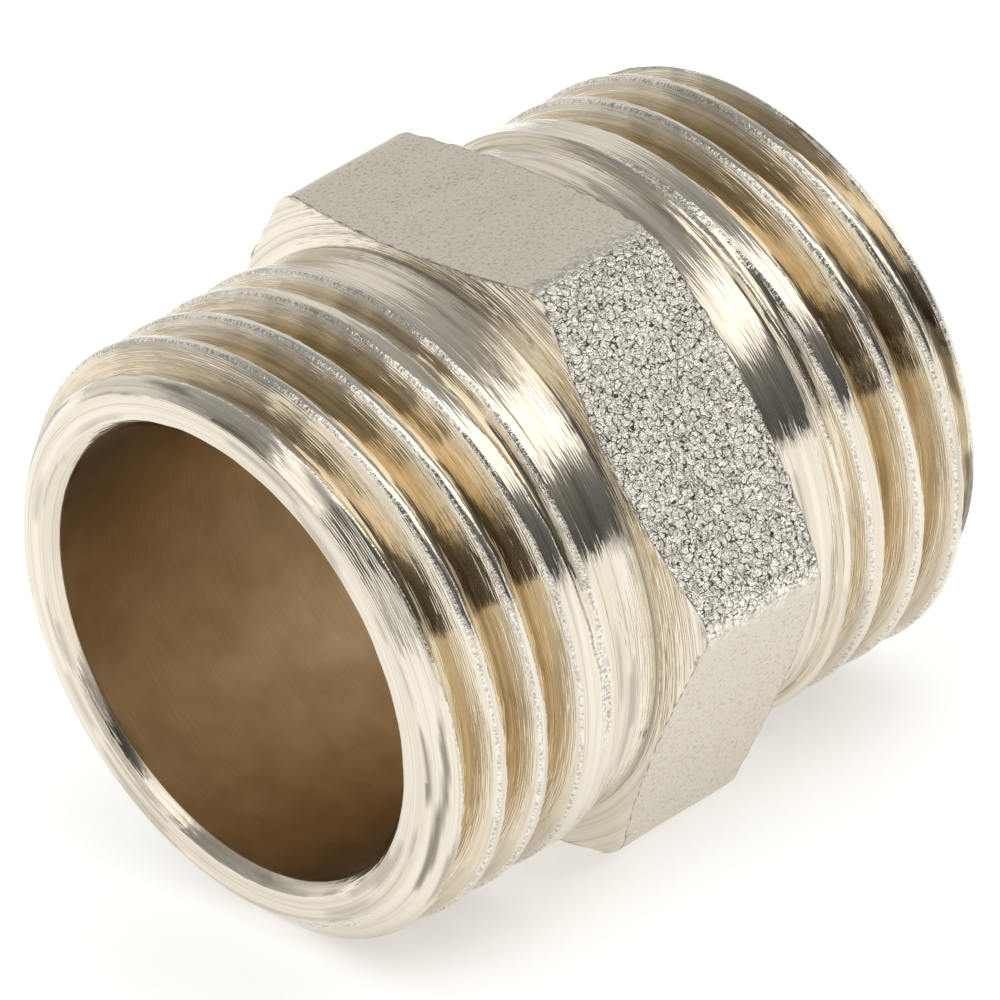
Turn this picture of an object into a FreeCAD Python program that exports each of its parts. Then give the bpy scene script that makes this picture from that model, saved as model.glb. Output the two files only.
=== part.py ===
"""Hex nipple, G 1/2 x G 1/2, turned from one brass forging and nickel plated.

The object is one piece of metal. Its pipe axis is X, and two of the six flats face +Z and -Z. The end at -X
is a little longer than the one at +X. The sketches measure along X from the middle of the hexagon, and the
body is then placed so that the middle of its whole length is at X = 0. Millimetres and degrees throughout.
"""
import FreeCAD, Part
import math
import os

import Sketcher

V = FreeCAD.Vector
LEFT, RIGHT = -1, 1
END_NAMES = {LEFT: "left", RIGHT: "right"}

# alias: (value, what it is)
DIMENSIONS = {
    "left_length": (12.65, "end face at -X to the middle of the hexagon"),
    "right_length": (12.0, "end face at +X to the middle of the hexagon"),
    "bore_radius": (8.0, "plain through bore"),
    "bore_chamfer": (0.4, "45 degree chamfer on each mouth of the bore"),
    "thread_radius": (10.4775, "G 1/2 major radius"),
    "thread_pitch": (1.814, "G 1/2 pitch, 14 threads per inch"),
    "thread_depth": (1.1616, "Whitworth depth, 0.6403 of the pitch"),
    "root_rounding": (0.249, "Whitworth root radius, 0.1373 of the pitch"),
    "flank_angle": (27.5, "half of the 55 degree Whitworth form"),
    "groove_overshoot": (0.35, "how far a groove section reaches outside the crests"),
    "left_face_radius": (9.3, "outer edge of the flat end face at -X"),
    "left_chamfer_length": (1.15, "axial length of the lead-in chamfer at -X"),
    "right_face_radius": (9.4, "outer edge of the flat end face at +X"),
    "right_chamfer_length": (1.05, "axial length of the lead-in chamfer at +X"),
    "thread_blank_end": (5.2, "inner end of the full diameter thread blank"),
    "neck_radius": (10.15, "turned neck between thread and hexagon"),
    "neck_step": (0.2, "axial length of the small step down to the neck"),
    "neck_end": (3.15, "where the neck meets the turned side of the hexagon"),
    "hex_across_flats": (21.0, "spanner size"),
    "hex_corner_rounding": (1.1, "forged rounding along each corner of the hexagon"),
    "hex_cone_angle": (20.0, "turned side of the hexagon, measured from a flat face"),
    "hex_cone_radius": (14.0, "how far out the cone that trims the hexagon reaches"),
    "left_groove_start": (13.92, "middle to the start of the groove at -X, off the metal"),
    "left_groove_turns": (4.12, "full depth turns of the groove at -X"),
    "right_groove_start": (13.9, "middle to the start of the groove at +X, off the metal"),
    "right_groove_turns": (4.3, "full depth turns of the groove at +X"),
    "runout_turns": (0.45, "turn over which a groove climbs out of the metal"),
    "runout_angle": (58.0, "climb of the run-out, measured from the axis"),
}


def cell(name):
    return DIMENSIONS[name][0]


def make_sheet(doc):
    """The driving dimensions as a spreadsheet: name, value, meaning."""
    sheet = doc.addObject("Spreadsheet::Sheet", "dimensions")
    for row, (alias, (value, meaning)) in enumerate(DIMENSIONS.items(), start=1):
        sheet.set(f"A{row}", alias)
        sheet.set(f"B{row}", str(value))
        sheet.set(f"C{row}", meaning)
        sheet.setAlias(f"B{row}", alias)
    return sheet


def driven(side, *terms):
    """A coordinate as side * (sum of signed aliases): its value, and its expression over the sheet."""
    value = 0.0
    parts = []
    for term in terms:
        sign = -side if term.startswith("-") else side
        alias = term.lstrip("-")
        value += sign * cell(alias)
        parts.append(f"{sign} * dimensions.{alias}")
    return value, " + ".join(parts)


def origin_feature(body, role):
    return next(item for item in body.Origin.OriginFeatures if item.Role == role)


def new_sketch(body, name, plane="XY_Plane"):
    sketch = body.newObject("Sketcher::SketchObject", name)
    sketch.AttachmentSupport = [(origin_feature(body, plane), "")]
    sketch.MapMode = "FlatFace"
    return sketch


def bind(sketch, constraint, expression):
    """Adds one dimensional constraint and drives it from the sheet."""
    index = sketch.addConstraint(constraint)
    sketch.setExpression(f"Constraints[{index}]", expression)


def outline(sketch, points):
    """Closed outline of straight lines. A point is (along X, radius); a radius of None is on the axis."""
    corners = [V(along[0], radius[0] if radius else 0, 0) for along, radius in points]
    count = len(corners)
    for i in range(count):
        sketch.addGeometry(Part.LineSegment(corners[i], corners[(i + 1) % count]), False)
    for i in range(count):
        sketch.addConstraint(Sketcher.Constraint("Coincident", i, 2, (i + 1) % count, 1))
    for i, (along, radius) in enumerate(points):
        bind(sketch, Sketcher.Constraint("DistanceX", -1, 1, i, 1, along[0]), along[1])
        if radius:
            bind(sketch, Sketcher.Constraint("DistanceY", -1, 1, i, 1, radius[0]), radius[1])
        else:
            sketch.addConstraint(Sketcher.Constraint("PointOnObject", i, 1, -1))


def turned(body, kind, name, points):
    """A turned feature about the pipe axis: PartDesign::Revolution adds, PartDesign::Groove removes."""
    sketch = new_sketch(body, name + "_section")
    outline(sketch, points)
    feature = body.newObject(kind, name)
    feature.Profile = sketch
    feature.ReferenceAxis = (origin_feature(body, "X_Axis"), [""])
    feature.Angle = 360
    return feature


def add_hexagon(body):
    """Hexagonal prism along X with flats facing +Z and -Z, its six long corners rounded."""
    sketch = new_sketch(body, "hexagon_section", "YZ_Plane")
    radius = cell("hex_across_flats") / math.sqrt(3)
    corners = [V(radius, 0, 0)]
    for i in range(1, 6):
        turn = math.radians(60 * i)
        corners.append(V(radius * math.cos(turn), radius * math.sin(turn), 0))
    for i in range(6):
        sketch.addGeometry(Part.LineSegment(corners[i], corners[(i + 1) % 6]), False)
    circle = sketch.addGeometry(Part.Circle(V(0, 0, 0), V(0, 0, 1), radius), True)
    for i in range(6):
        sketch.addConstraint(Sketcher.Constraint("Coincident", i, 2, (i + 1) % 6, 1))
    sketch.addConstraint(Sketcher.Constraint("Coincident", circle, 3, -1, 1))
    for i in range(6):
        sketch.addConstraint(Sketcher.Constraint("PointOnObject", i, 1, circle))
    for i in range(1, 6):
        sketch.addConstraint(Sketcher.Constraint("Equal", 0, i))
    sketch.addConstraint(Sketcher.Constraint("PointOnObject", 0, 1, -1))
    across = Sketcher.Constraint("Radius", circle, radius)
    bind(sketch, across, "dimensions.hex_across_flats / sqrt(3)")
    prism = body.newObject("PartDesign::Pad", "hexagon")
    prism.Profile = sketch
    prism.SideType = "Symmetric"
    prism.setExpression("Length", "2 * dimensions.neck_end")
    body.Document.recompute()
    long_edges = [
        f"Edge{number}"
        for number, edge in enumerate(prism.Shape.Edges, start=1)
        if edge.BoundBox.XLength > cell("neck_end")
    ]
    rounding = body.newObject("PartDesign::Fillet", "hexagon_corners")
    rounding.Base = (prism, long_edges)
    rounding.setExpression("Radius", "dimensions.hex_corner_rounding")
    body.Document.recompute()


def turn_hexagon_side(body, side, name):
    """Trims one side of the hexagon to a cone, which leaves a curved edge along each flat."""
    reach = cell("hex_cone_radius") - cell("neck_radius")
    slope = math.tan(math.radians(cell("hex_cone_angle")))
    inner = side * (cell("neck_end") - reach * slope)
    inner_text = (
        f"{side} * (dimensions.neck_end - (dimensions.hex_cone_radius - dimensions.neck_radius)"
        " * tan(dimensions.hex_cone_angle * 1 deg))"
    )
    neck_end = driven(side, "neck_end")
    cone_radius = driven(1, "hex_cone_radius")
    points = [(neck_end, driven(1, "neck_radius")), (neck_end, cone_radius), ((inner, inner_text), cone_radius)]
    turned(body, "PartDesign::Groove", name, points)


def half_blank(side):
    """Corners of the turned blank on one side of the hexagon, from the end face inwards."""
    crest = driven(1, "thread_radius")
    neck = driven(1, "neck_radius")
    end = END_NAMES[side]
    return [
        (driven(side, f"{end}_length"), None),
        (driven(side, f"{end}_length"), driven(1, f"{end}_face_radius")),
        (driven(side, f"{end}_length", f"-{end}_chamfer_length"), crest),
        (driven(side, "thread_blank_end"), crest),
        (driven(side, "thread_blank_end", "-neck_step"), neck),
    ]


def half_bore(side):
    """Corners of the bore's section on one side, from the end face inwards."""
    length = f"{END_NAMES[side]}_length"
    return [
        (driven(side, length), None),
        (driven(side, length), driven(1, "bore_radius", "bore_chamfer")),
        (driven(side, length, "-bore_chamfer"), driven(1, "bore_radius")),
    ]


def groove_section(body, name, start, turn):
    """Whitworth groove section on the half plane at an angle about X: rounded root, 55 degree flanks."""
    sketch = new_sketch(body, name)
    sketch.AttachmentOffset = FreeCAD.Placement(V(0, 0, 0), FreeCAD.Rotation(V(1, 0, 0), turn[0]))
    sketch.setExpression("AttachmentOffset.Rotation.Angle", turn[1])
    rounding = cell("root_rounding")
    flank = math.radians(cell("flank_angle"))
    middle = cell("thread_radius") - cell("thread_depth") + rounding
    top = cell("thread_radius") + cell("groove_overshoot")
    foot_x = rounding * math.cos(flank)
    foot_y = middle - rounding * math.sin(flank)
    top_x = rounding / math.cos(flank) + (top - middle) * math.tan(flank)
    x = start[0]
    foot_left, foot_right = V(x - foot_x, foot_y, 0), V(x + foot_x, foot_y, 0)
    top_left, top_right = V(x - top_x, top, 0), V(x + top_x, top, 0)
    root = sketch.addGeometry(Part.Arc(foot_left, V(x, middle - rounding, 0), foot_right), False)
    right = sketch.addGeometry(Part.LineSegment(foot_right, top_right), False)
    mouth = sketch.addGeometry(Part.LineSegment(top_right, top_left), False)
    left = sketch.addGeometry(Part.LineSegment(top_left, foot_left), False)
    sketch.addConstraint(Sketcher.Constraint("Tangent", root, 2, right, 1))
    sketch.addConstraint(Sketcher.Constraint("Coincident", right, 2, mouth, 1))
    sketch.addConstraint(Sketcher.Constraint("Coincident", mouth, 2, left, 1))
    sketch.addConstraint(Sketcher.Constraint("Tangent", left, 2, root, 1))
    sketch.addConstraint(Sketcher.Constraint("Horizontal", mouth))
    bind(sketch, Sketcher.Constraint("Radius", root, rounding), "dimensions.root_rounding")
    bind(sketch, Sketcher.Constraint("DistanceX", -1, 1, root, 3, x), start[1])
    middle_text = "dimensions.thread_radius - dimensions.thread_depth + dimensions.root_rounding"
    bind(sketch, Sketcher.Constraint("DistanceY", -1, 1, root, 3, middle), middle_text)
    top_text = "dimensions.thread_radius + dimensions.groove_overshoot"
    bind(sketch, Sketcher.Constraint("DistanceY", -1, 1, mouth, 1, top), top_text)
    width_text = (
        "2 * (dimensions.root_rounding / cos(dimensions.flank_angle * 1 deg)"
        " + (dimensions.thread_depth + dimensions.groove_overshoot - dimensions.root_rounding)"
        " * tan(dimensions.flank_angle * 1 deg))"
    )
    bind(sketch, Sketcher.Constraint("DistanceX", left, 1, right, 2, 2 * top_x), width_text)
    sketch.addConstraint(Sketcher.Constraint("Equal", left, right))
    return sketch


def cut_helix(body, name, section, side, turns, angle=None):
    """Right-hand helical groove about X, cut from the end of the pipe towards the hexagon."""
    groove = body.newObject("PartDesign::SubtractiveHelix", name)
    groove.Profile = section
    groove.ReferenceAxis = (origin_feature(body, "X_Axis"), [""])
    groove.Mode = "pitch-height-angle"
    groove.Reversed = side == RIGHT
    groove.setExpression("Pitch", "dimensions.thread_pitch")
    groove.setExpression("Height", f"dimensions.thread_pitch * dimensions.{turns}")
    if angle:
        groove.setExpression("Angle", f"dimensions.{angle}")
    body.Document.recompute()


def cut_thread(body, side, name):
    """One thread groove: full depth turns, then a run-out that climbs out of the metal."""
    start = f"{name}_groove_start"
    turns = f"{name}_groove_turns"
    section = groove_section(body, f"{name}_groove_section", driven(side, start), (0.0, "0"))
    cut_helix(body, f"{name}_groove", section, side, turns)
    runout_x = side * (cell(start) - cell("thread_pitch") * cell(turns))
    runout_text = f"{side} * (dimensions.{start} - dimensions.thread_pitch * dimensions.{turns})"
    turn = (-side * 360 * cell(turns), f"{-side} * 360 * dimensions.{turns}")
    section = groove_section(body, f"{name}_runout_section", (runout_x, runout_text), turn)
    cut_helix(body, f"{name}_runout", section, side, "runout_turns", "runout_angle")


def nipple_body(doc):
    body = doc.addObject("PartDesign::Body", "nipple_body")
    body.Label = "nipple_body"
    add_hexagon(body)
    turn_hexagon_side(body, LEFT, "left_hexagon_side")
    turn_hexagon_side(body, RIGHT, "right_hexagon_side")
    blank = half_blank(LEFT) + half_blank(RIGHT)[::-1]
    turned(body, "PartDesign::Revolution", "turned_blank", blank)
    turned(body, "PartDesign::Groove", "bore", half_bore(LEFT) + half_bore(RIGHT)[::-1])
    cut_thread(body, LEFT, "left")
    cut_thread(body, RIGHT, "right")
    middle = (cell("left_length") - cell("right_length")) / 2
    body.Placement = FreeCAD.Placement(V(middle, 0, 0), FreeCAD.Rotation())
    body.setExpression("Placement.Base.x", "(dimensions.left_length - dimensions.right_length) / 2")
    return body


def check_states(doc):
    """Stops if any object failed to compute."""
    for item in doc.Objects:
        if "Invalid" in item.State or "Error" in item.State:
            raise RuntimeError(f"{item.Name} failed: {item.State}")


def check_volumes(body):
    """Stops if a feature that adds metal added none, or one that removes metal removed none."""
    adding = ("PartDesign::Pad", "PartDesign::Revolution")
    before = 0.0
    for item in body.Group:
        if not hasattr(item, "AddSubShape"):
            continue
        change = item.Shape.Volume - before
        if (change > 0) != (item.TypeId in adding):
            raise RuntimeError(f"{item.Name} changed the volume by {change:+.2f} mm3")
        print(f"{item.Name}: {change:+.2f} mm3")
        before += change


def main():
    doc = FreeCAD.newDocument("hex_nipple")
    make_sheet(doc)
    body = nipple_body(doc)
    doc.recompute()
    check_states(doc)
    check_volumes(body)
    shape = body.Shape
    if shape.isNull() or not shape.isValid() or len(shape.Solids) != 1:
        raise RuntimeError("nipple_body is not one valid solid")
    os.makedirs("parts", exist_ok=True)
    shape.exportStep(f"parts/{body.Label}.step")
    print(f"{body.Label}: volume {shape.Volume:.1f} mm3, {len(shape.Faces)} faces")


main()
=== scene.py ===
"""Looks of the hex nipple: one detailed mesh of the turned and threaded body, its metal, a floor and light.

Lengths inside the mesh code are millimetres along and around the pipe axis (+X), measured from the middle of
the hexagon; SCALE turns them into metres. Angles around the axis start at +Y and grow towards +Z.
"""

import math

import bpy
import numpy as np
from mathutils import Matrix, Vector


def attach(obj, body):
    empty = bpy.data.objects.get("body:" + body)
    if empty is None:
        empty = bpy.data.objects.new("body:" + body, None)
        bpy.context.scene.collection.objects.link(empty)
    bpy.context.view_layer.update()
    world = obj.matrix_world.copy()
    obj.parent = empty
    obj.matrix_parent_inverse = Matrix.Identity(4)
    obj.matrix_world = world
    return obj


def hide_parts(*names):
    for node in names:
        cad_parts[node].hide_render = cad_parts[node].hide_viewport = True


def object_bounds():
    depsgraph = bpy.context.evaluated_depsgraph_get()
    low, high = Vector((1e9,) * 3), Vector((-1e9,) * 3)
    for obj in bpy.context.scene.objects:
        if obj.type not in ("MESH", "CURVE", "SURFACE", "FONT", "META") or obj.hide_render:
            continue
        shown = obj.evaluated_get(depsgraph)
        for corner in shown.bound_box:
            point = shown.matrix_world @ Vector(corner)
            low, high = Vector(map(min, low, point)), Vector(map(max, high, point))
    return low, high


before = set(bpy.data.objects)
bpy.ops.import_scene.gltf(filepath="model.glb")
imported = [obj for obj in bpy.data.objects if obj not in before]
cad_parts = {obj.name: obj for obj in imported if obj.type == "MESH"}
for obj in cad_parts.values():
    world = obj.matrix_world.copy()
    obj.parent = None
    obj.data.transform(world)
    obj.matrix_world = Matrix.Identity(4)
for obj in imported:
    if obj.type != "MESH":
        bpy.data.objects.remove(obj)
CAD_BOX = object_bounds()

SCALE = 0.001  # millimetres to metres
TURN = 2 * math.pi

# Sizes of the body, the same as the CAD part's
LEFT_LENGTH = 12.65  # end face to the middle of the hexagon, as are all lengths along the axis
RIGHT_LENGTH = 12.0
HEXAGON_AT = (LEFT_LENGTH - RIGHT_LENGTH) / 2  # the hexagon's middle, from the middle of the whole length
BORE_RADIUS = 8.0
BORE_CHAMFER = 0.4
THREAD_RADIUS = 10.4775
PITCH = 1.814
THREAD_DEPTH = 1.1616
ROOT_ROUNDING = 0.249
FLANK_ANGLE = math.radians(27.5)
LEFT_FACE_RADIUS, RIGHT_FACE_RADIUS = 9.3, 9.4
CHAMFER_SLOPE = 1.025  # rise of the lead-in chamfer along the axis
BLANK_END = 5.2  # where the full thread diameter stops
NECK_RADIUS = 10.15
NECK_STEP = 0.2
NECK_END = 3.15  # where the neck meets the hexagon's cone
ACROSS_FLATS = 21.0
CORNER_ROUNDING = 1.5  # softer than the CAD part's 1.1
CONE_ANGLE = math.radians(20)
RUNOUT_TURNS = 0.45
RUNOUT_RISE = 1.306  # how far the groove's bottom climbs over the run-out
LEFT_START, LEFT_TURNS = 13.92, 4.12
RIGHT_START, RIGHT_TURNS = 13.9, 4.3
COARSE_FLATS = (-30, 150)  # directions of the flats with a coarse forged grain, degrees from +Y

# Mesh density
COLUMNS = 600
ROWS_PER_PITCH = 24
EDGE = 0.03  # half width of the small roundings on turned edges


# ---------------------------------------------------------------- shape


def wave_field(seed, count, around, along):
    """A repeatable random field over (x, angle): waves with whole numbers of periods around the axis."""
    rng = np.random.default_rng(seed)
    turns = rng.integers(around[0], around[1] + 1, count) * rng.choice([-1, 1], count)
    rate = rng.uniform(-along, along, count)
    phase = rng.uniform(0, TURN, count)

    def field(x, angle):
        total = np.zeros(np.broadcast(x, angle).shape)
        for t, r, p in zip(turns, rate, phase):
            total += np.cos(t * angle + r * x + p)
        return total / math.sqrt(count / 2)

    return field


BURRS = wave_field(11, 90, (30, 150), 12.0)
NICKS = wave_field(12, 80, (30, 160), 9.0)
FLANK_WANDER = wave_field(13, 30, (3, 40), 0.6)
NECK_RIPPLE = wave_field(14, 26, (0, 7), 9.0)
FACE_RIPPLE = wave_field(15, 30, (1, 30), 3.0)
FORGED = wave_field(16, 90, (30, 230), 16.0)
FORGED_WIDE = wave_field(17, 40, (4, 40), 2.2)
EDGE_WANDER = wave_field(18, 40, (6, 90), 0.5)
STREAKS = wave_field(19, 40, (1, 9), 17.0)


def smooth_step(low, high, value):
    """0 at low, 1 at high, which may be below low."""
    t = np.clip((value - low) / (high - low), 0, 1)
    return t * t * (3 - 2 * t)


def smooth_min(a, b, width):
    h = np.clip(width - np.abs(a - b), 0, None) / width
    return np.minimum(a, b) - h * h * width / 4


def flank_height(distance):
    """Height above the groove's bottom at that distance from its centre line: a rounded V."""
    t = np.abs(distance)
    limit = ROOT_ROUNDING * math.cos(FLANK_ANGLE)
    low = ROOT_ROUNDING * (1 - math.sin(FLANK_ANGLE))
    round_part = ROOT_ROUNDING - np.sqrt(np.clip(ROOT_ROUNDING**2 - np.minimum(t, limit) ** 2, 0, None))
    return np.where(t < limit, round_part, low + (t - limit) / math.tan(FLANK_ANGLE))


def length_of(side):
    return LEFT_LENGTH if side < 0 else RIGHT_LENGTH


def face_radius(side):
    return LEFT_FACE_RADIUS if side < 0 else RIGHT_FACE_RADIUS


def thread_radius(x, angle, side):
    """Radius of the threaded end at (x, angle), and how much of a torn crest it is there.

    side is -1 for the left end and 1 for the right end, which is turned about +Y from the left one, so both
    have the same hand.
    """
    start, turns = (LEFT_START, LEFT_TURNS) if side < 0 else (RIGHT_START, RIGHT_TURNS)
    u, psi = -side * x, -side * angle
    psi = np.mod(psi, TURN)
    wander = 0.012 * FLANK_WANDER(x, angle)
    groove = np.full(np.shape(u), 99.0)
    for k in range(7):
        theta = psi + TURN * k
        centre = -start + PITCH * theta / TURN
        past = np.clip((theta / TURN - turns) / RUNOUT_TURNS, 0, 4)
        bottom = THREAD_RADIUS - THREAD_DEPTH + RUNOUT_RISE * past
        groove = np.minimum(groove, bottom + flank_height(u - centre + wander))
    from_end = u + length_of(side)
    cone = face_radius(side) + from_end * CHAMFER_SLOPE
    blank = smooth_min(np.full(np.shape(u), THREAD_RADIUS), cone, 0.10)
    shoulder = smooth_step(-BLANK_END, -BLANK_END + NECK_STEP, u)
    blank = blank - (THREAD_RADIUS - NECK_RADIUS) * shoulder
    radius = smooth_min(blank, groove, 0.13)
    # ragged crests, where the die has torn the metal
    on_edge = np.exp(-(((blank - groove) / 0.11) ** 2)) * smooth_step(0.0, 0.3, from_end)
    burr = 0.005 * BURRS(x, angle) - 0.016 * smooth_step(0.9, 2.2, NICKS(x, angle))
    return radius + on_edge * np.clip(burr, -0.05, 0.02) - 0.010 * on_edge, on_edge


def dark_streaks(x, angle):
    """Dark streaks that run round the axis, 0 to 1."""
    return smooth_step(0.6, 1.3, STREAKS(x, angle))


def hexagon_radius(angle):
    """Distance from the axis to the hexagon's side, with rounded corners. A flat faces +Z."""
    apothem = ACROSS_FLATS / 2
    off = np.mod(angle, TURN / 6) - TURN / 12  # angle from the middle of a flat
    flat = apothem / np.cos(off)
    to_corner = TURN / 12 - np.abs(off)
    centre = (apothem - CORNER_ROUNDING) / math.cos(TURN / 12)
    inside = CORNER_ROUNDING**2 - (centre * np.sin(to_corner)) ** 2
    arc = centre * np.cos(to_corner) + np.sqrt(np.clip(inside, 0, None))
    tangent = math.atan2((apothem - CORNER_ROUNDING) * math.tan(TURN / 12), apothem)
    return np.where(np.abs(off) > tangent, arc, flat)


class Body:
    """Collects the vertices, faces and per-vertex masks of one closed surface."""

    def __init__(self):
        self.x, self.r, self.a = [], [], []
        self.gold, self.grain, self.inside, self.burr, self.grime = [], [], [], [], []
        self.faces = []
        self.count = 0
        self.angles = np.arange(COLUMNS) * TURN / COLUMNS

    def add(self, x, r, a, gold=0.0, grain=0.0, inside=0.0, burr=0.0, grime=0.0):
        size = len(a)
        stores = (self.x, self.r, self.a, self.gold, self.grain, self.inside, self.burr, self.grime)
        for store, value in zip(stores, (x, r, a, gold, grain, inside, burr, grime)):
            store.append(np.broadcast_to(np.asarray(value, float), (size,)))
        start = self.count
        self.count += size
        return np.arange(start, start + size)

    def ring(self, x, r, **masks):
        return self.add(x, r, self.angles, **masks)

    def bridge(self, low, high):
        nxt = np.roll(np.arange(COLUMNS), -1)
        self.faces.extend(np.stack([low, low[nxt], high[nxt], high], 1).tolist())

    def rings(self, first, rows):
        last = first
        for row in rows:
            self.bridge(last, row)
            last = row
        return last

    def helical_band(self, low, high, x_low, x_high, phase, side):
        """Cells between two rings that follow the thread, so that no crest or root crosses them."""
        step = PITCH / ROWS_PER_PITCH
        margin = 0.35 * step + 1e-7
        shift = PITCH * np.arange(COLUMNS + 1) / COLUMNS
        first = np.ceil((x_low + margin - phase - shift) / step).astype(int)
        last = np.floor((x_high - margin - phase - shift) / step).astype(int)
        first[-1], last[-1] = first[0] - ROWS_PER_PITCH, last[0] - ROWS_PER_PITCH
        table = np.full((last.max() - first.min() + 1, COLUMNS + 1), -1)
        base = first.min()
        for j in range(COLUMNS):
            i = np.arange(first[j], last[j] + 1)
            x = phase + i * step + shift[j]
            a = np.full(len(i), self.angles[j])
            r, burr = thread_radius(x, a, side)
            depth = (THREAD_RADIUS - r) / THREAD_DEPTH
            from_end = length_of(side) - np.abs(x)
            # painted shade and reflection: the grooves turn golden and darker with depth, none on the lead-in
            # chamfer
            gold = 0.55 * smooth_step(0.05, 0.35, depth) + 0.45 * smooth_step(0.35, 0.85, depth)
            gold = gold * smooth_step(0.75, 1.35, from_end)
            grime = dark_streaks(x, a) * (0.18 + 0.62 * smooth_step(1.0, 0.6, from_end))
            table[i - base, j] = self.add(x, r, a, gold=gold, burr=burr, grime=grime)
        i = np.arange(first[-1], last[-1] + 1)
        table[i - base, COLUMNS] = table[i - base + ROWS_PER_PITCH, 0]
        for j in range(COLUMNS):
            k = (j + 1) % COLUMNS
            f0, f1, l0, l1 = (int(v) - base for v in (first[j], first[j + 1], last[j], last[j + 1]))
            here, there = table[:, j], table[:, j + 1]
            add = self.faces.append
            if f1 < f0:
                add([low[j], low[k], there[f1]])
                add([low[j], there[f1], there[f0], here[f0]])
            else:
                add([low[j], low[k], there[f0], here[f0]])
            top = min(l0, l1)
            for i in range(f0, top):
                add([here[i], there[i], there[i + 1], here[i + 1]])
            if l1 < l0:
                add([here[l1], there[l1], high[k], here[l0]])
                add([here[l0], high[k], high[j]])
            else:
                add([here[l0], there[l0], high[k], high[j]])

    def mesh(self, name):
        x, r, a = (np.concatenate(v) for v in (self.x, self.r, self.a))
        data = bpy.data.meshes.new(name)
        points = np.stack([x + HEXAGON_AT, r * np.cos(a), r * np.sin(a)], 1) * SCALE
        data.from_pydata(points, [], [[int(v) for v in f] for f in self.faces])
        data.polygons.foreach_set("use_smooth", np.ones(len(data.polygons), bool))
        for key in ("gold", "grain", "inside", "burr", "grime"):
            mask = data.attributes.new(key, "FLOAT", "POINT")
            mask.data.foreach_set("value", np.concatenate(getattr(self, key)).astype(np.float32))
        data.update()
        return data


def end_rows(body, side):
    """Rings from the bore out to the start of the thread, on the left (-1) or right (1) end."""
    a = body.angles
    chamfer_in = BORE_RADIUS + BORE_CHAMFER
    dent = 0.010 * FACE_RIPPLE(side * 5.0, a)
    end, outer = length_of(side), face_radius(side)
    middle = (chamfer_in + outer) / 2
    rows = [
        (end - BORE_CHAMFER - 0.12, BORE_RADIUS, 1.0),
        (end - BORE_CHAMFER - EDGE, BORE_RADIUS, 0.9),
        (end - BORE_CHAMFER + EDGE, BORE_RADIUS + EDGE, 0.3),
        (end - BORE_CHAMFER / 2, BORE_RADIUS + BORE_CHAMFER / 2, 0.0),
        (end - EDGE, chamfer_in - EDGE + dent, 0.0),
        (end, chamfer_in + EDGE + dent, 0.0),
        (end, chamfer_in + 0.10 + dent, 0.0),
        (end - 0.004, middle - 0.12, 0.0),
        (end - 0.002, middle + 0.12, 0.0),
        (end, outer - 0.10 + dent, 0.0),
        (end, outer - EDGE + dent, 0.0),
        (end - EDGE, outer + EDGE, 0.0),
    ]
    return [
        body.ring(side * x, r, inside=inside, grime=0.4 * dark_streaks(side * 3.0 * r, a)) for x, r, inside in rows
    ]


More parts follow.
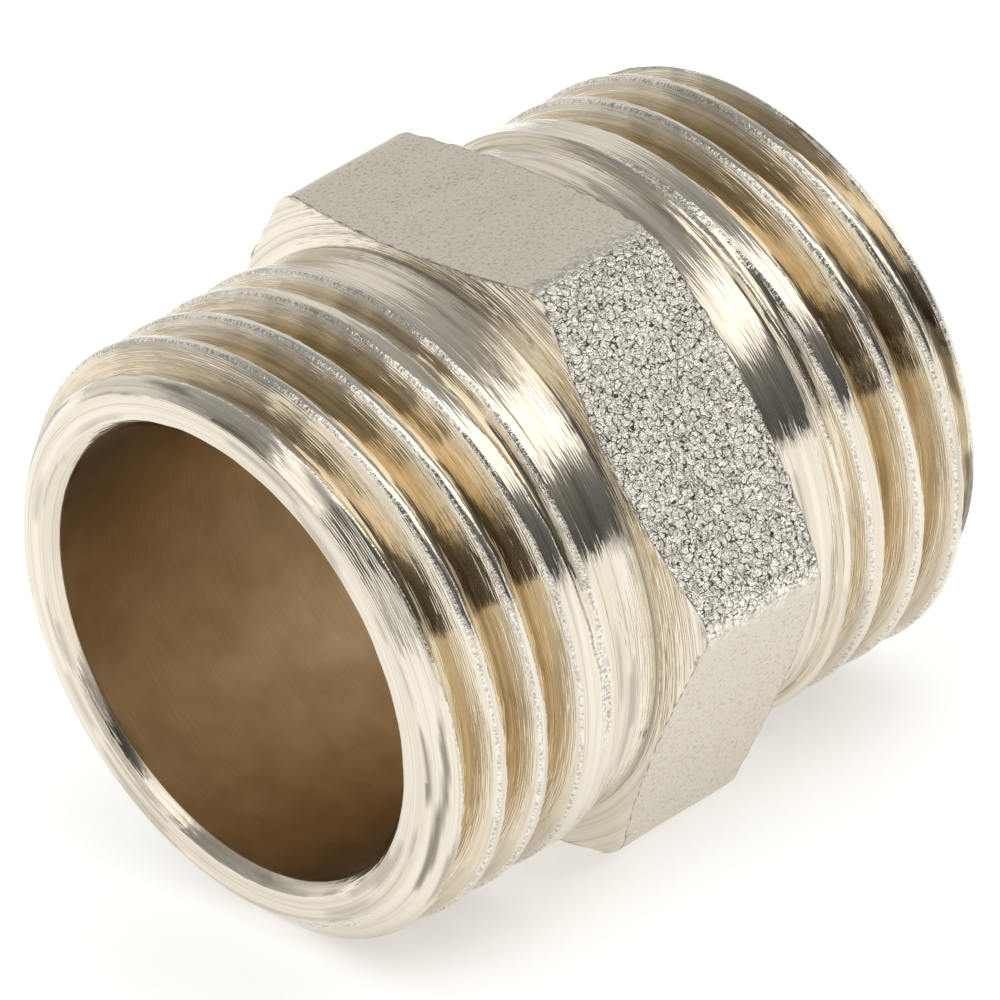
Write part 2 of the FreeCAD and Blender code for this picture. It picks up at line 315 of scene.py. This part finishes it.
def hexagon_rows(body):
    """Rings across the middle, from the left neck to the right one.

    Each row is x, radius, painted golden shade and grain, with dark marks and painted crease shade after them
    where there are any.
    """
    a = body.angles
    side_radius = hexagon_radius(a)
    slope = math.tan(CONE_ANGLE)

    def neck(side):
        spots = [4.92, 4.75, 4.55, 4.35, 4.15, 3.95, 3.75, 3.55, 3.40, 3.30, 3.24]
        rows = []
        for x in spots:
            ripple = 0.006 * NECK_RIPPLE(side * x, a)
            rows.append((side * x, NECK_RADIUS + ripple, 0.05, 0.0, 0.4 * dark_streaks(side * x, a)))
        # a shallow undercut at the foot of the cone, with painted shade darkening its crease (the last
        # column)
        rows.append((side * 3.225, NECK_RADIUS - 0.002, 0.0, 0.0))
        rows.append((side * 3.195, NECK_RADIUS - 0.045, 0.0, 0.0, 0.3))
        rows.append((side * 3.160, NECK_RADIUS - 0.050, 0.0, 0.0, 0.9))
        rows.append((side * 3.140, NECK_RADIUS + 0.010, 0.0, 0.0, 0.4))
        rows.append((side * 3.132, NECK_RADIUS + 0.050, 0.0, 0.0))
        return rows

    def cone(side):
        edge = side_radius - 0.05
        low = NECK_RADIUS + 0.13
        rows = []
        for s in (0.0, 0.15, 0.35, 0.55, 0.75, 0.9, 1.0):
            r = low + s * (edge - low)
            x = NECK_END - (r - NECK_RADIUS) * slope + 0.002 * FACE_RIPPLE(side * 3.0 * s, a)
            rows.append((side * x, r, 0.0, 0.0))
        return rows

    wander = 0.03 * EDGE_WANDER(0.0, a)
    edge_x = NECK_END - (side_radius - NECK_RADIUS) * slope + wander
    edge_other = NECK_END - (side_radius - NECK_RADIUS) * slope + 0.03 * EDGE_WANDER(7.0, a)
    ragged = np.clip(0.65 + 0.35 * NICKS(2.0, a), 0, 1)

    # two flats came out of the die coarse, the others nearly smooth
    coarse = np.zeros(COLUMNS)
    for middle in COARSE_FLATS:
        off = np.abs(np.mod(a - math.radians(middle) + math.pi, TURN) - math.pi)
        coarse = np.maximum(coarse, 1 - smooth_step(math.radians(26), math.radians(38), off))
    rough = 0.16 + 0.84 * coarse

    def flats():
        rows = []
        count = 60
        for k in range(count + 1):
            t = k / count
            left, right = -(edge_x - 0.05), edge_other - 0.05
            x = left + (right - left) * t
            fade = min(1.0, 6 * t + 0.15, 6 * (1 - t) + 0.15)
            bumps = rough * 0.016 * FORGED(x, a) + (0.008 + 0.016 * coarse) * FORGED_WIDE(x, a)
            rows.append((x, side_radius - 0.02 + fade * (bumps - 0.004), 0.0, rough))
        return rows

    rows = neck(-1) + cone(-1)
    rows.append((-edge_x, side_radius - 0.022, 0.0, 0.6 * rough, ragged))
    rows += flats()
    rows.append((edge_other, side_radius - 0.022, 0.0, 0.6 * rough, ragged))
    rows += cone(1)[::-1] + neck(1)[::-1]
    return [
        body.ring(x, r, gold=gold, grain=grain, grime=grime[0] if grime else 0.0)
        for x, r, gold, grain, *grime in rows
    ]


def nipple_mesh():
    body = Body()
    left_ring, right_ring = BLANK_END + 0.06, NECK_END + 1.80
    left_end, right_end = end_rows(body, -1), end_rows(body, 1)
    # the bore, from the right end to the left one
    mouth = BORE_CHAMFER + 0.5
    spots = np.linspace(RIGHT_LENGTH - mouth, mouth - LEFT_LENGTH, 11)
    bore = [body.ring(x, BORE_RADIUS + 0.002 * FACE_RIPPLE(x, body.angles), inside=1.0) for x in spots]
    last = body.rings(right_end[0], bore + left_end)
    # left thread
    ring = body.ring(-left_ring, THREAD_RADIUS)
    body.helical_band(last, ring, EDGE - LEFT_LENGTH, -left_ring, -LEFT_START, -1)
    # the shoulder at the end of the full diameter, then neck, hexagon and neck
    # the shoulder's step is painted golden and darker, as painted shade and reflection
    shoulder = [
        body.ring(-x, r, gold=gold)
        for x, r, gold in (
            (BLANK_END + 0.01, THREAD_RADIUS - 0.004, 0.3),
            (BLANK_END - 0.03, THREAD_RADIUS - 0.035, 0.8),
            (BLANK_END - 0.10, (THREAD_RADIUS + NECK_RADIUS) / 2, 1.0),
            (BLANK_END - 0.17, NECK_RADIUS + 0.035, 0.8),
            (BLANK_END - 0.21, NECK_RADIUS + 0.004, 0.5),
        )
    ]
    last = body.rings(ring, shoulder + hexagon_rows(body))
    right = body.ring(right_ring, NECK_RADIUS, gold=0.2)
    body.helical_band(right, right_end[-1], right_ring, RIGHT_LENGTH - EDGE, RIGHT_START - 8 * PITCH, 1)
    body.bridge(last, right)
    # the right end face, from the thread in to the bore
    body.rings(right_end[-1], right_end[-2::-1])
    return body.mesh("nipple_detail")


# ---------------------------------------------------------------- materials


class Nodes:
    """Short calls for building a node tree."""

    def __init__(self, tree):
        self.tree = tree
        tree.nodes.clear()

    def new(self, kind, inputs=None, **settings):
        node = self.tree.nodes.new(kind)
        for key, value in settings.items():
            setattr(node, key, value)
        for key, value in (inputs or {}).items():
            if isinstance(value, bpy.types.NodeSocket):
                self.tree.links.new(value, node.inputs[key])
            else:
                node.inputs[key].default_value = value
        return node

    def math(self, operation, a, b=0.0, c=0.0):
        return self.new("ShaderNodeMath", {0: a, 1: b, 2: c}, operation=operation).outputs[0]

    def mix(self, factor, a, b):
        node = self.new("ShaderNodeMix", {0: factor}, data_type="RGBA")
        for index, value in ((6, a), (7, b)):
            if isinstance(value, bpy.types.NodeSocket):
                self.tree.links.new(value, node.inputs[index])
            else:
                node.inputs[index].default_value = (*value, 1)
        return node.outputs[2]

    def blend(self, factor, a, b):
        return self.new("ShaderNodeMix", {0: factor, 2: a, 3: b}, data_type="FLOAT").outputs[0]

    def range(self, value, low, high, to_low=0.0, to_high=1.0):
        inputs = {0: value, 1: low, 2: high, 3: to_low, 4: to_high}
        return self.new("ShaderNodeMapRange", inputs, interpolation_type="SMOOTHSTEP").outputs[0]

    def attribute(self, name):
        return self.new("ShaderNodeAttribute", attribute_name=name).outputs["Fac"]


# Depth of the finest relief, in metres
SCORE_DEPTH, BURR_DEPTH, GRAIN_DEPTH = 0.000024, 0.00004, 0.00011


def nickel_material():
    """Nickel plate on turned brass.

    Pale, with tool lines round the axis, painted golden shade and reflection in the grooves, sparkling torn
    crests, a pebbled grain on the coarse forged flats with painted shade in its crevices and fine pits on the
    others, dark streaks, painted shade in the crease at each cone's foot, and a bore painted brown as shade
    and reflection inside it, with a satin roughness.
    """
    material = bpy.data.materials.new("nickel_plate_turned")
    material.use_nodes = True
    n = Nodes(material.node_tree)
    position = n.new("ShaderNodeTexCoord").outputs["Object"]
    mm = n.new("ShaderNodeVectorMath", {0: position, "Scale": 1000.0}, operation="SCALE").outputs[0]
    xyz = n.new("ShaderNodeSeparateXYZ", {0: mm})
    x, y, z = xyz.outputs
    radius = n.math("SQRT", n.math("ADD", n.math("MULTIPLY", y, y), n.math("MULTIPLY", z, z)))
    across, up = n.math("DIVIDE", y, radius), n.math("DIVIDE", z, radius)

    def lines(per_mm, round_rate, detail, seed):
        """Noise drawn out round the axis, as a lathe tool leaves it."""
        vector = n.new(
            "ShaderNodeCombineXYZ",
            {
                0: n.math("MULTIPLY_ADD", x, per_mm, seed),
                1: n.math("MULTIPLY", across, round_rate),
                2: n.math("MULTIPLY", up, round_rate),
            },
        ).outputs[0]
        inputs = {"Vector": vector, "W": n.math("MULTIPLY", radius, per_mm), "Scale": 1.0, "Detail": detail}
        return n.new("ShaderNodeTexNoise", inputs, noise_dimensions="4D").outputs[0]

    def specks(per_mm, detail, roughness):
        inputs = {"Vector": mm, "Scale": per_mm, "Detail": detail, "Roughness": roughness}
        return n.new("ShaderNodeTexNoise", inputs).outputs[0]

    gold, rough_grain, inside, burr, grime = (
        n.attribute(key) for key in ("gold", "grain", "inside", "burr", "grime")
    )
    grain = n.range(rough_grain, 0.0, 0.14)  # all of every flat
    fine, coarse, broad = lines(13.0, 0.7, 1.0, 3.1), lines(4.6, 0.45, 2.0, 17.7), lines(1.1, 2.6, 1.0, 41.3)
    streaks = lines(8.0, 13.0, 1.0, 63.0)
    grit, dust, cloud = specks(3.6, 2.0, 0.55), specks(8.0, 2.0, 0.6), specks(0.7, 2.0, 0.5)
    bend = n.new("ShaderNodeTexNoise", {"Vector": mm, "Scale": 3.0, "Detail": 1.0}).outputs[1]
    bent = n.new(
        "ShaderNodeVectorMath", {0: bend, 1: (0.35, 0.35, 0.35), 2: mm}, operation="MULTIPLY_ADD"
    ).outputs[0]
    cells = n.new(
        "ShaderNodeTexVoronoi", {"Vector": bent, "Scale": 3.7, "Randomness": 1.0}, feature="DISTANCE_TO_EDGE"
    ).outputs["Distance"]
    # the regular marks of the tool's feed
    along = n.math("ADD", x, radius)
    feed = n.math("SINE", n.math("MULTIPLY_ADD", along, 60.0, n.math("MULTIPLY", coarse, 9.0)))

    worn = n.mix(n.range(coarse, 0.3, 0.7), (0.72, 0.66, 0.55), (0.83, 0.78, 0.68))
    lined = n.mix(n.range(fine, 0.32, 0.43), (0.63, 0.585, 0.50), worn)
    flecks = n.mix(n.range(dust, 0.40, 0.58), (0.45, 0.43, 0.38), (0.90, 0.88, 0.83))
    pale = n.mix(n.math("MULTIPLY", n.range(burr, 0.25, 0.8), 0.7), lined, flecks)
    # golden, darker colour for the painted shade and reflection in the grooves
    deep = n.mix(n.range(coarse, 0.35, 0.65), (0.46, 0.35, 0.20), (0.70, 0.57, 0.38))
    tinted = n.mix(n.math("MULTIPLY", gold, n.range(broad, 0.2, 0.75, 0.7, 1.0)), pale, deep)
    depth = n.math("MULTIPLY_ADD", dust, 0.26, cells)
    # painted shade: the low edges between the grain's cells on the coarse flats turn nearly black
    crevice_shade = n.math("MULTIPLY", n.range(depth, 0.210, 0.135), n.range(rough_grain, 0.35, 0.9))
    pitted = n.range(dust, 0.54, 0.66, 0.0, 0.8)
    smooth_flat = n.mix(pitted, (0.70, 0.655, 0.565), (0.46, 0.41, 0.33))
    facet = n.mix(n.range(grit, 0.40, 0.58), (0.72, 0.68, 0.60), (0.97, 0.94, 0.88))
    blasted = n.mix(crevice_shade, n.mix(n.range(rough_grain, 0.2, 0.9), smooth_flat, facet), (0.08, 0.062, 0.045))
    outside = n.mix(grain, tinted, blasted)
    # the bore is painted a darker brown: painted shade and reflection inside the bore
    bore_shade = n.mix(n.range(cloud, 0.3, 0.7), (0.53, 0.415, 0.27), (0.63, 0.51, 0.35))
    # dark streaks, ragged marks on the hexagon's edges and painted shade in the crease at each cone's foot
    # darken the colour towards near black
    colour = n.mix(n.math("MULTIPLY", grime, 0.85), n.mix(inside, outside, bore_shade), (0.07, 0.058, 0.045))

    turned_rough = n.range(coarse, 0.3, 0.7, 0.07, 0.15)
    rough = n.blend(grain, turned_rough, n.blend(rough_grain, 0.42, 0.20))
    rough = n.blend(inside, rough, 0.34)

    cut = n.math("MULTIPLY_ADD", fine, 0.40, n.math("MULTIPLY", coarse, 0.8))
    turned = n.math("MULTIPLY_ADD", feed, 0.055, n.math("MULTIPLY_ADD", streaks, 0.8, cut))
    off_lathe = n.range(n.math("ADD", grain, inside), 0.0, 1.0, 1.0, 0.12)
    scored = n.new(
        "ShaderNodeBump", {"Height": turned, "Strength": off_lathe, "Distance": SCORE_DEPTH}
    ).outputs[0]
    torn = n.new(
        "ShaderNodeBump", {"Height": dust, "Strength": burr, "Distance": BURR_DEPTH, "Normal": scored}
    ).outputs[0]
    facets = n.math("MULTIPLY_ADD", cells, 1.0, n.math("MULTIPLY", dust, 0.7))
    rugged = n.new(
        "ShaderNodeBump", {"Height": facets, "Strength": rough_grain, "Distance": GRAIN_DEPTH, "Normal": torn}
    ).outputs[0]

    shader = n.new(
        "ShaderNodeBsdfPrincipled",
        {"Base Color": colour, "Metallic": 1.0, "Roughness": rough, "Normal": rugged},
    )
    output = n.new("ShaderNodeOutputMaterial")
    material.node_tree.links.new(shader.outputs[0], output.inputs[0])
    return material


FLOOR_GLOW = 0.46


def floor_material():
    """White paper that glows a little, so that the floor stays pale right up to the part."""
    material = bpy.data.materials.new("studio_paper")
    material.use_nodes = True
    n = Nodes(material.node_tree)
    fibres = n.new("ShaderNodeTexNoise", {"Scale": 900.0, "Detail": 2.0}).outputs[0]
    colour = n.mix(fibres, (0.86, 0.86, 0.855), (0.90, 0.90, 0.895))
    shader = n.new(
        "ShaderNodeBsdfPrincipled",
        {
            "Base Color": colour,
            "Roughness": 0.9,
            "Emission Color": (1, 1, 1, 1),
            "Emission Strength": FLOOR_GLOW,
        },
    )
    output = n.new("ShaderNodeOutputMaterial")
    material.node_tree.links.new(shader.outputs[0], output.inputs[0])
    return material


# ---------------------------------------------------------------- studio


def add_floor():
    low = min(corner[2] for corner in CAD_BOX)
    data = bpy.data.meshes.new("floor")
    reach = 1.2
    corners = [(-reach, -reach, low), (reach, -reach, low), (reach, reach, low), (-reach, reach, low)]
    data.from_pydata(corners, [], [(0, 1, 2, 3)])
    data.materials.append(floor_material())
    floor = bpy.data.objects.new("floor", data)
    bpy.context.scene.collection.objects.link(floor)
    return floor


BAND_LEAN = 0.45  # radians per unit of x
NECK_REFLECTS = 0.554  # x of the direction that a surface along the axis reflects; the bands don't lean there
END_GLOW = 1.05  # brightness straight out from the left end
# Brightness of the studio round the pipe axis: degrees from +Y through +Z (up), and the radiance there
STUDIO_BANDS = [
    (-180, 0.68), (-90, 0.72), (-12, 0.74), (-4, 0.70), (8, 0.66), (13, 0.72), (22, 0.86), (46, 0.86),
    (54, 0.72), (60, 0.48), (78, 0.42), (98, 0.36), (106, 0.42), (110, 0.85), (113, 1.65), (141, 1.60),
    (144, 0.70), (147, 0.24), (160, 0.15), (176, 0.09), (180, 0.10),
]


def add_world():
    """Soft boxes and dark cards in long bands along the pipe, seen only in reflections."""
    world = bpy.data.worlds.new("studio")
    bpy.context.scene.world = world
    world.use_nodes = True
    n = Nodes(world.node_tree)
    direction = n.new("ShaderNodeTexCoord").outputs["Generated"]
    xyz = n.new("ShaderNodeSeparateXYZ", {0: direction})
    angle = n.math("ARCTAN2", xyz.outputs[2], xyz.outputs[1])
    # the bands lean: seen towards the left end they sit lower
    lean = n.math("MULTIPLY_ADD", xyz.outputs[0], -BAND_LEAN, BAND_LEAN * NECK_REFLECTS)
    place = n.math("FRACT", n.math("MULTIPLY_ADD", n.math("ADD", angle, lean), 1 / TURN, 0.5))
    ramp = n.new("ShaderNodeValToRGB", {0: place})
    elements = ramp.color_ramp.elements
    brightest = max(value for _, value in STUDIO_BANDS)
    for index, (degrees, value) in enumerate(STUDIO_BANDS):
        spot = degrees / 360 + 0.5
        element = elements[index] if index < 2 else elements.new(spot)
        element.position = spot
        level = value / brightest
        element.color = (level, level, level, 1)
    ends = n.range(xyz.outputs[0], -1.0, 0.1, 0.80, 1.0)
    bands = n.math("MULTIPLY", n.math("MULTIPLY", ramp.outputs[0], ends), brightest)
    strength = n.blend(n.range(xyz.outputs[0], -0.84, -0.90), bands, END_GLOW)
    seen = n.new("ShaderNodeBackground", {"Color": (1.0, 0.985, 0.96, 1), "Strength": strength})
    plain = n.new("ShaderNodeBackground", {"Color": (1, 1, 1, 1), "Strength": 1.0})
    is_camera = n.new("ShaderNodeLightPath").outputs["Is Camera Ray"]
    mixed = n.new("ShaderNodeMixShader", {0: is_camera, 1: seen.outputs[0], 2: plain.outputs[0]})
    output = n.new("ShaderNodeOutputWorld")
    world.node_tree.links.new(mixed.outputs[0], output.inputs[0])


def add_soft_box():
    """A broad overhead light for soft shadows."""
    lamp = bpy.data.lights.new("overhead_soft_box", "AREA")
    lamp.shape = "RECTANGLE"
    lamp.size, lamp.size_y = 0.7, 0.5
    lamp.energy = 0.45
    box = bpy.data.objects.new("overhead_soft_box", lamp)
    box.matrix_world = Matrix.Translation((0.05, 0.0, 0.6))
    box.visible_glossy = False
    bpy.context.scene.collection.objects.link(box)


VIEW_AZIMUTH = math.radians(-39.6265)
VIEW_ELEVATION = math.radians(29.6601)
VIEW_ROLL = math.radians(-8.0742)
VIEW_DISTANCE = 0.40709
VIEW_CENTRE = (-0.0002056, -0.0002332)  # to the right and up, in metres
SENSOR = 36.0
LENS = 12.58444 * SENSOR


def add_camera():
    data = bpy.data.cameras.new("camera")
    data.sensor_width = SENSOR
    data.lens = LENS
    data.clip_start, data.clip_end = 0.01, 20
    camera = bpy.data.objects.new("camera", data)
    turn = (
        Matrix.Rotation(VIEW_AZIMUTH, 4, "Z")
        @ Matrix.Rotation(math.pi / 2 - VIEW_ELEVATION, 4, "X")
        @ Matrix.Rotation(VIEW_ROLL, 4, "Z")
    )
    middle = Matrix.Translation((HEXAGON_AT * SCALE, 0, 0))
    camera.matrix_world = middle @ turn @ Matrix.Translation((*VIEW_CENTRE, VIEW_DISTANCE))
    bpy.context.scene.collection.objects.link(camera)
    bpy.context.scene.camera = camera


# ---------------------------------------------------------------- assembly

add_camera()
add_world()
add_soft_box()
add_floor()

nipple = bpy.data.objects.new("nipple_detail", nipple_mesh())
bpy.context.scene.collection.objects.link(nipple)
nipple.data.materials.append(nickel_material())
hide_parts("nipple_body")
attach(nipple, "root")

bpy.context.scene.view_settings.view_transform = "Standard"
